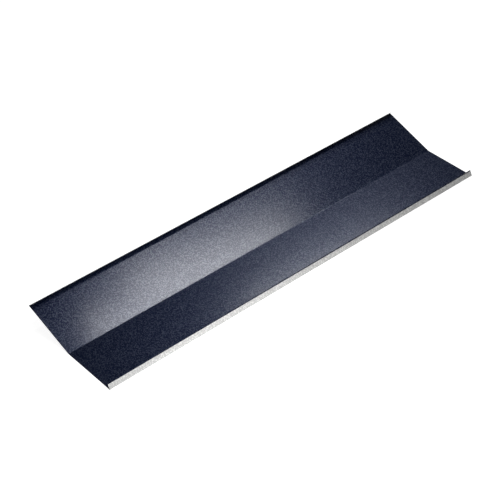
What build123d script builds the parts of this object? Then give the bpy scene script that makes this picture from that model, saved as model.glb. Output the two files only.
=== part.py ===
from build123d import *
import os

# Valley flashing: one length of colour-coated steel sheet, folded once along its middle to a shallow V
# and turned up along both long edges into a lip that leans inwards.
# It lies as on a level floor, with the front flange flat and the back flange rising from the valley.
# X runs along the valley, Y runs from the front flange to the back flange, and Z is up.

# Driving dimensions, in millimetres and degrees
length = 2000.0  # stock length, along the valley
flange_width = 262.0  # valley line to lip fold, along the underside
lip_height = 28.5  # lip fold to cut edge, along the outside of the lip
sheet_thickness = 0.5  # steel with its coatings
valley_angle = 161.5  # between the upper faces of the two flanges
lip_angle = 60.0  # between a lip and its flange, on the inside
valley_bend_radius = 3.0  # inside of the valley bend
lip_bend_radius = 1.5  # inside of each lip bend


def underside_corners():
    """Corners of the underside as (Y, Z), from the front lip to the back lip, with the valley at 0, 0."""
    back_slope = 180.0 - valley_angle
    valley = Vector(0, 0)
    front_fold = valley - Vector(flange_width, 0)
    back_fold = valley + Vector(flange_width, 0).rotate(Axis.Z, back_slope)
    front_lip = Vector(lip_height, 0).rotate(Axis.Z, lip_angle)
    back_lip = Vector(-lip_height, 0).rotate(Axis.Z, back_slope - lip_angle)
    return [front_fold + front_lip, front_fold, valley, back_fold, back_fold + back_lip]


def sheet_section():
    """Cross-section of the folded sheet: the underside with its bends, thickened towards the upper side."""
    inner_radii = [lip_bend_radius, valley_bend_radius, lip_bend_radius]
    outer_radii = [radius + sheet_thickness for radius in inner_radii]
    underside = FilletPolyline(*underside_corners(), radius=outer_radii)
    outline = offset(underside, amount=sheet_thickness, side=Side.LEFT)
    return make_face(outline)


def valley_flashing():
    """The folded sheet, cut square at both ends, with its origin on the floor under the middle of its box."""
    sheet = extrude(Plane.YZ * sheet_section(), amount=length / 2, both=True)
    return Pos(Y=-sheet.bounding_box().center().Y) * sheet


os.makedirs("parts", exist_ok=True)
export_step(valley_flashing(), "parts/valley_flashing.step")
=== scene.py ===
import math

import bmesh
import bpy
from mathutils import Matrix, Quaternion, Vector, noise


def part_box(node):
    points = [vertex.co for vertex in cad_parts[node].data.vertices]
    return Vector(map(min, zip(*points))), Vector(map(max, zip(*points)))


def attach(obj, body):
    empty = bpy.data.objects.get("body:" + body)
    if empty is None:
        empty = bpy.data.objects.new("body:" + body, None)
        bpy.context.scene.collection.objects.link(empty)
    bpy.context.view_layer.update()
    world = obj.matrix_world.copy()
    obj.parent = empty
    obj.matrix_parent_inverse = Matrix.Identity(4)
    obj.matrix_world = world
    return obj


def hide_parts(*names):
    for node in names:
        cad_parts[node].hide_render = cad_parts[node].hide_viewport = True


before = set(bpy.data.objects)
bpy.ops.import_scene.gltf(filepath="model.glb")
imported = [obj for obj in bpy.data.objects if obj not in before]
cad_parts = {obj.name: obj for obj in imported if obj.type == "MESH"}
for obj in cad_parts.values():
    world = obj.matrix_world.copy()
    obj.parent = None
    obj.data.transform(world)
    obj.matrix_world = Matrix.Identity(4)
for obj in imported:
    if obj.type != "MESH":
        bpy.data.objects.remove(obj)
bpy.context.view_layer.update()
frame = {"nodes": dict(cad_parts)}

scene = bpy.context.scene
print("frame loaded:", ", ".join(frame["nodes"]))


# small helpers for node trees

def addNode(tree, kind, **settings):
    node = tree.nodes.new(kind)
    for name, value in settings.items():
        setattr(node, name, value)
    return node


def feed(tree, socket, source):
    # a node's output is linked, anything else becomes the socket's own value
    if isinstance(source, bpy.types.NodeSocket):
        tree.links.new(source, socket)
    else:
        socket.default_value = source


def feedAll(tree, node, sources):
    for name, source in sources.items():
        feed(tree, node.inputs[name], source)


def mathNode(tree, operation, first, second, clamp=False):
    node = addNode(tree, "ShaderNodeMath", operation=operation, use_clamp=clamp)
    feed(tree, node.inputs[0], first)
    feed(tree, node.inputs[1], second)
    return node.outputs[0]


def remap(tree, value, fromBand, toBand):
    node = addNode(tree, "ShaderNodeMapRange")
    feedAll(tree, node, {
        "Value": value,
        "From Min": fromBand[0],
        "From Max": fromBand[1],
        "To Min": toBand[0],
        "To Max": toBand[1],
    })
    return node.outputs["Result"]


def mix(tree, factor, first, second, kind="RGBA"):
    node = addNode(tree, "ShaderNodeMix", data_type=kind)
    feedAll(tree, node, {"Factor": factor, "A": first, "B": second})
    return node.outputs["Result"]


def newGroup(name, inputs, outputs):
    group = bpy.data.node_groups.new(name, "ShaderNodeTree")
    for socket in inputs:
        group.interface.new_socket(socket, in_out="INPUT", socket_type="NodeSocketFloat")
    for socket in outputs:
        group.interface.new_socket(socket, in_out="OUTPUT", socket_type="NodeSocketFloat")
    return group, addNode(group, "NodeGroupInput"), addNode(group, "NodeGroupOutput")


def placeGroup(tree, group, **values):
    node = addNode(tree, "ShaderNodeGroup", node_tree=group)
    feedAll(tree, node, values)
    return node.outputs


def newMaterial(name):
    material = bpy.data.materials.new(name)
    material.use_nodes = True
    tree = material.node_tree
    return material, tree, tree.nodes["Principled BSDF"]


# effects that the two coats share

stipple = {
    "paleFrom": (0.55, 0.75),  # of a grain's random number: dark below, pale above
    "detail": 3.0,
    "roughness": 0.6,
}


def makeCoatGrain():
    # sprayed stipple: pale grains among more dark ones, in an uneven surface of the same scale
    group, given, out = newGroup("coatGrain", ("GrainSize",), ("Shade", "Relief"))
    where = addNode(group, "ShaderNodeTexCoord").outputs["Object"]
    perMetre = mathNode(group, "DIVIDE", 1.0, given.outputs["GrainSize"])
    grains = addNode(group, "ShaderNodeTexVoronoi")
    feedAll(group, grains, {"Vector": where, "Scale": perMetre})
    chance = addNode(group, "ShaderNodeSeparateColor")
    feedAll(group, chance, {"Color": grains.outputs["Color"]})
    surface = addNode(group, "ShaderNodeTexNoise")
    feedAll(group, surface, {
        "Vector": where,
        "Scale": perMetre,
        "Detail": stipple["detail"],
        "Roughness": stipple["roughness"],
    })
    feedAll(group, out, {
        "Shade": remap(group, chance.outputs["Red"], stipple["paleFrom"], (0.0, 1.0)),
        "Relief": surface.outputs["Fac"],
    })
    return group


drifts = {
    "detail": 4.0,
    "driftFrom": (0.45, 0.75),  # of the noise: bare below, thick above
    "specksPerPatch": 60.0,
    "speckFrom": (0.5, 0.7),
    "betweenSpecks": 0.3,  # share of the dust that lies between the specks
}


def makeYardDust():
    # thin dust in soft drifts along the sheet, as it gathers on a shelf
    group, given, out = newGroup("yardDust", ("PatchSize",), ("Dust",))
    where = addNode(group, "ShaderNodeTexCoord").outputs["Object"]
    perMetre = mathNode(group, "DIVIDE", 1.0, given.outputs["PatchSize"])
    drift = addNode(group, "ShaderNodeTexNoise")
    feedAll(group, drift, {"Vector": where, "Scale": perMetre, "Detail": drifts["detail"]})
    speck = addNode(group, "ShaderNodeTexNoise")
    specksPerMetre = mathNode(group, "MULTIPLY", perMetre, drifts["specksPerPatch"])
    feedAll(group, speck, {"Vector": where, "Scale": specksPerMetre})
    thick = remap(group, drift.outputs["Fac"], drifts["driftFrom"], (0.0, 1.0))
    specks = remap(group, speck.outputs["Fac"], drifts["speckFrom"], (drifts["betweenSpecks"], 1.0))
    feedAll(group, out, {"Dust": mathNode(group, "MULTIPLY", thick, specks, clamp=True)})
    return group


coatGrain = makeCoatGrain()
yardDust = makeYardDust()
print("shared effects:", coatGrain.name, yardDust.name)


# the coats of the sheet

reliefBand = (0.3, 0.7)  # of the grain's relief, from the glossiest to the dullest spots


def sprayCoat(name, look):
    # what both coats have: grain in colour, gloss and surface, under a little dust
    material, tree, paint = newMaterial(name)
    grain = placeGroup(tree, coatGrain, GrainSize=look["grainSize"])
    dust = placeGroup(tree, yardDust, PatchSize=look["dustPatch"])
    colour = mix(tree, grain["Shade"], look["darkGrain"], look["paleGrain"])
    cover = mathNode(tree, "MULTIPLY", dust["Dust"], look["dustCover"])
    bump = addNode(tree, "ShaderNodeBump")
    feedAll(tree, bump, {"Distance": look["grainRelief"], "Height": grain["Relief"]})
    feedAll(tree, paint, {
        "Base Color": mix(tree, cover, colour, look["dustColour"]),
        "Roughness": remap(tree, grain["Relief"], reliefBand, look["roughness"]),
        "Normal": bump.outputs["Normal"],
    })
    return material, tree, paint, grain


navyCoat = {
    "darkGrain": (0.0022, 0.0067, 0.0275, 1.0),
    "paleGrain": (0.0318, 0.0405, 0.0725, 1.0),
    "flake": 0.45,  # share of metallic flake in the pigment
    "grainSize": 0.0030,  # metres
    "grainRelief": 0.0001,  # metres
    "roughness": (0.30, 0.37),
    "lacquer": (0.71, 0.98),  # clear top layer over the dark and the pale grains
    "lacquerRoughness": 0.175,
    "dustColour": (0.25, 0.25, 0.26, 1.0),
    "dustPatch": 0.35,  # metres
    "dustCover": 0.01,
}


def makeNavyCoat():
    look = navyCoat
    material, tree, paint, grain = sprayCoat("navyCoat", look)
    feedAll(tree, paint, {
        "Metallic": look["flake"],
        "Specular IOR Level": 0.0,  # the clear layer has the gloss
        "Coat Weight": remap(tree, grain["Shade"], (0.0, 1.0), look["lacquer"]),
        "Coat Roughness": look["lacquerRoughness"],
    })
    return material


greyBackCoat = {
    "darkGrain": (0.59, 0.59, 0.585, 1.0),
    "paleGrain": (0.82, 0.82, 0.81, 1.0),
    "grainSize": 0.0038,  # metres
    "grainRelief": 0.0001,  # metres
    "roughness": (0.42, 0.52),
    "dustColour": (0.45, 0.43, 0.40, 1.0),
    "dustPatch": 0.3,  # metres
    "dustCover": 0.2,
}


def makeGreyBackCoat():
    return sprayCoat("greyBackCoat", greyBackCoat)[0]


cutSteel = {
    "brightSteel": (0.20, 0.20, 0.21, 1.0),
    "dullSteel": (0.08, 0.08, 0.09, 1.0),
    "streakSize": 0.004,  # metres
    "roughness": 0.42,
}


def makeCutSteel():
    look = cutSteel
    material, tree, steel = newMaterial("cutSteel")
    where = addNode(tree, "ShaderNodeTexCoord").outputs["Object"]
    streaks = addNode(tree, "ShaderNodeTexNoise")
    feedAll(tree, streaks, {"Vector": where, "Scale": 1.0 / look["streakSize"]})
    feedAll(tree, steel, {
        "Base Color": mix(tree, streaks.outputs["Fac"], look["dullSteel"], look["brightSteel"]),
        "Metallic": 1.0,
        "Roughness": look["roughness"],
    })
    return material


sheetCoats = [makeNavyCoat(), makeGreyBackCoat(), makeCutSteel()]
navySide, greySide, cutSide = range(len(sheetCoats))
print("coats:", ", ".join(coat.name for coat in sheetCoats))


# the folded sheet, in metres and degrees

foldedSheet = {
    "node": "valley_flashing",
    "flangeWidth": 0.262,  # valley line to lip fold, along the underside
    "lipHeight": 0.0285,  # lip fold to cut edge, along the outside
    "coatLap": 0.0045,  # how far the navy coat laps over the cut edge, on to the outside of the lip
    "thickness": 0.0005,
    "valleyAngle": 161.5,  # between the upper faces of the flanges
    "lipAngle": 60.0,  # between a lip and its flange
    "valleyBendRadius": 0.003,  # inside of the bend
    "lipBendRadius": 0.0015,
    "pitch": 0.01,  # of the mesh along and across the sheet
    "lipSteps": 5,
    "lipBendSteps": 12,
    "valleyBendSteps": 6,
    "sharpAngle": 40.0,  # edges sharper than this keep a crisp line
    "canning": 0.00015,  # how far the thin flanges belly between their folds
    "canningLength": 0.42,
    "canningAcross": 0.8,  # waves across a flange
    "backCanning": 7.4,  # where in the noise the back flange starts, away from the front one
}


def sectionRuns():
    # (name, length, turn, steps) of the underside, from the front lip's cut edge round to the back lip's
    made = foldedSheet
    lipTurn = math.radians(180 - made["lipAngle"])
    valleyTurn = math.radians(180 - made["valleyAngle"])
    lipRadius = made["lipBendRadius"] + made["thickness"]
    valleyRadius = made["valleyBendRadius"] + made["thickness"]
    lipReach = lipRadius * math.tan(lipTurn / 2)
    valleyReach = valleyRadius * math.tan(valleyTurn / 2)
    flat = made["flangeWidth"] - lipReach - valleyReach
    flangeSteps = round(made["flangeWidth"] / made["pitch"])
    lap = ("lap", made["coatLap"], 0.0, 1)
    lip = ("lip", made["lipHeight"] - made["coatLap"] - lipReach, 0.0, made["lipSteps"])
    lipFold = ("lipFold", lipRadius * lipTurn, lipTurn, made["lipBendSteps"])
    front = ("frontFlange", flat, 0.0, flangeSteps)
    valley = ("valley", valleyRadius * valleyTurn, valleyTurn, made["valleyBendSteps"])
    back = ("backFlange", flat, 0.0, flangeSteps)
    return [lap, lip, lipFold, front, valley, back, lipFold, lip, lap]


def walkSection():
    # every point of the underside with the way to the upper side, its run and its place across that run
    point = Vector((0.0, 0.0))
    heading = math.pi + math.radians(foldedSheet["lipAngle"])
    walked = [(point, heading, "lap", 0.0)]
    for run, length, turn, steps in sectionRuns():
        bend = turn / steps
        chord = length / steps * (math.sin(bend / 2) / (bend / 2) if bend else 1.0)
        for step in range(steps):
            heading += bend / 2
            point = point + chord * Vector((math.cos(heading), math.sin(heading)))
            heading += bend / 2
            walked.append((point, heading, run, (step + 1) / steps))
    return [(point, Vector((-math.sin(heading), math.cos(heading))), run, across)
            for point, heading, run, across in walked]


def bellyOf(x, run, across):
    # thin sheet never lies quite flat: each flange bellies a little, and the front one only upwards
    made = foldedSheet
    place = Vector((x / made["canningLength"], across * made["canningAcross"], 0.0))
    if run == "frontFlange":
        wave = 0.5 + 0.5 * noise.noise(place)
    elif run == "backFlange":
        wave = noise.noise(place + Vector((0.0, 0.0, made["backCanning"])))
    else:
        return 0.0
    return made["canning"] * wave * math.sin(math.pi * across)


def makeFoldedSheet():
    lowCorner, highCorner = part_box(foldedSheet["node"])
    section = walkSection()
    thick = foldedSheet["thickness"]
    outline = [point for point, up, run, across in section]
    outline += [point + thick * up for point, up, run, across in section]
    lowest = Vector((min(point.x for point in outline), min(point.y for point in outline)))
    rise = Vector((lowCorner.y, lowCorner.z)) - lowest
    length = highCorner.x - lowCorner.x
    bays = round(length / foldedSheet["pitch"])

    form = bmesh.new()
    under, upper = [], []
    for bay in range(bays + 1):
        x = lowCorner.x + length * bay / bays
        underRow, upperRow = [], []
        for point, up, run, across in section:
            low = point + rise + bellyOf(x, run, across) * up
            high = low + thick * up
            underRow.append(form.verts.new((x, low.x, low.y)))
            upperRow.append(form.verts.new((x, high.x, high.y)))
        under.append(underRow)
        upper.append(upperRow)

    def patch(side, *corners):
        face = form.faces.new(corners)
        face.material_index = side
        face.smooth = True

    rows = range(len(section) - 1)
    coatBelow = [navySide if run == "lap" else greySide for point, up, run, across in section[1:]]
    for below, belowNext, above, aboveNext in zip(under, under[1:], upper, upper[1:]):
        for row in rows:
            patch(navySide, above[row], aboveNext[row], aboveNext[row + 1], above[row + 1])
            patch(coatBelow[row], below[row], below[row + 1], belowNext[row + 1], belowNext[row])
        for edge in (0, -1):
            patch(cutSide, below[edge], belowNext[edge], aboveNext[edge], above[edge])
    for below, above in ((under[0], upper[0]), (under[-1], upper[-1])):
        for row in rows:
            patch(cutSide, below[row], above[row], above[row + 1], below[row + 1])
    bmesh.ops.recalc_face_normals(form, faces=form.faces)

    mesh = bpy.data.meshes.new("foldedSheet")
    form.to_mesh(mesh)
    form.free()
    for coat in sheetCoats:
        mesh.materials.append(coat)
    mesh.set_sharp_from_angle(angle=math.radians(foldedSheet["sharpAngle"]))
    sheet = bpy.data.objects.new("foldedSheet", mesh)
    scene.collection.objects.link(sheet)
    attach(sheet, "root")
    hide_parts(foldedSheet["node"])
    return sheet


sheet = makeFoldedSheet()
print("folded sheet:", len(sheet.data.polygons), "faces")


# the studio: floor, backdrop, lamps and camera

studio = {
    "floorSize": 60.0,  # metres
    "floorGap": 0.0003,  # under the sheet
    "floorColour": (0.45, 0.45, 0.45, 1.0),
    "floorLift": 0.9,  # towards white, for the camera and for reflections
    "roomLight": 0.1,  # soft light from all round
    "ceiling": 0.05,  # how bright the room overhead is in reflections
    "backdropFade": (0.0, 0.12),  # between these heights the white backdrop fades out in reflections
}


def lookingRays(tree):
    # what the camera sees, and what reflections and glass show
    rays = addNode(tree, "ShaderNodeLightPath").outputs
    reflected = mathNode(tree, "MAXIMUM", rays["Is Glossy Ray"], rays["Is Transmission Ray"])
    return rays["Is Camera Ray"], reflected


def makeFloor():
    half = studio["floorSize"] / 2
    corners = [(-half, -half), (half, -half), (half, half), (-half, half)]
    mesh = bpy.data.meshes.new("floor")
    mesh.from_pydata([(x, y, -studio["floorGap"]) for x, y in corners], [], [(0, 1, 2, 3)])
    material = bpy.data.materials.new("paleFloor")
    material.use_nodes = True
    tree = material.node_tree
    tree.nodes.clear()
    paper = addNode(tree, "ShaderNodeBsdfDiffuse")
    feedAll(tree, paper, {"Color": studio["floorColour"]})
    lift = addNode(tree, "ShaderNodeEmission")
    seen = mathNode(tree, "MAXIMUM", *lookingRays(tree))
    feedAll(tree, lift, {"Strength": mathNode(tree, "MULTIPLY", seen, studio["floorLift"])})
    both = addNode(tree, "ShaderNodeAddShader")
    feed(tree, both.inputs[0], paper.outputs[0])
    feed(tree, both.inputs[1], lift.outputs[0])
    feedAll(tree, addNode(tree, "ShaderNodeOutputMaterial"), {"Surface": both.outputs[0]})
    mesh.materials.append(material)
    floor = bpy.data.objects.new("floor", mesh)
    scene.collection.objects.link(floor)


def makeRoom():
    world = bpy.data.worlds.new("studioRoom")
    world.use_nodes = True
    tree = world.node_tree
    tree.nodes.clear()
    direction = addNode(tree, "ShaderNodeSeparateXYZ")
    feedAll(tree, direction, {"Vector": addNode(tree, "ShaderNodeTexCoord").outputs["Generated"]})
    seen, reflected = lookingRays(tree)
    room = remap(tree, direction.outputs["Z"], studio["backdropFade"], (1.0, studio["ceiling"]))
    level = mix(tree, reflected, studio["roomLight"], room, "FLOAT")
    backdrop = addNode(tree, "ShaderNodeBackground")
    feedAll(tree, backdrop, {
        "Color": (1.0, 1.0, 1.0, 1.0),
        "Strength": mix(tree, seen, level, 1.0, "FLOAT"),
    })
    feedAll(tree, addNode(tree, "ShaderNodeOutputWorld"), {"Surface": backdrop.outputs[0]})
    scene.world = world


def aimAt(thing, location, target, spin):
    thing.location = location
    facing = (Vector(target) - Vector(location)).to_track_quat("-Z", "Y")
    thing.rotation_mode = "QUATERNION"
    thing.rotation_quaternion = facing @ Quaternion((0, 0, 1), math.radians(spin))
    scene.collection.objects.link(thing)


lampTarget = (0.0, 0.0, 0.04)
lamps = {
    "overheadPanel": {"at": (2.18, 0.36, 4.49), "size": (1.34, 0.61), "spin": 68.0, "watts": 35.5},
    "backPanel": {"at": (2.66, 2.20, 3.50), "size": (1.22, 0.29), "spin": 31.6, "watts": 40.0},
    "frontPanel": {"at": (-0.48, -0.59, 1.03), "size": (2.61, 0.34), "spin": 94.1, "watts": 20.5},
}


def makeLamps():
    for name, lamp in lamps.items():
        light = bpy.data.lights.new(name, "AREA")
        light.shape = "RECTANGLE"
        light.size, light.size_y = lamp["size"]
        light.energy = lamp["watts"]
        panel = bpy.data.objects.new(name, light)
        panel.visible_camera = False
        aimAt(panel, lamp["at"], lampTarget, lamp["spin"])


photoView = {
    "target": (-0.1055, -0.0232, 0.04),
    "distance": 5.7128,
    "azimuth": 41.243,  # from +Y towards +X
    "elevation": 38.971,
    "roll": -0.565,
    "lens": 100.583,  # millimetres
    "sensor": 36.0,  # millimetres wide
    "farthest": 200.0,  # metres
}


def makeCamera():
    camera = bpy.data.objects.new("photoCamera", bpy.data.cameras.new("photoCamera"))
    camera.data.sensor_width = photoView["sensor"]
    camera.data.lens = photoView["lens"]
    camera.data.clip_end = photoView["farthest"]
    azimuth, elevation = math.radians(photoView["azimuth"]), math.radians(photoView["elevation"])
    level = math.cos(elevation)
    towards = Vector((math.sin(azimuth) * level, math.cos(azimuth) * level, -math.sin(elevation)))
    target = Vector(photoView["target"])
    aimAt(camera, target - photoView["distance"] * towards, target, photoView["roll"])
    scene.camera = camera


makeFloor()
makeRoom()
makeLamps()
makeCamera()
scene.view_settings.view_transform = "Standard"
print("studio:", len(lamps), "lamps, camera at", [round(c, 3) for c in scene.camera.location])
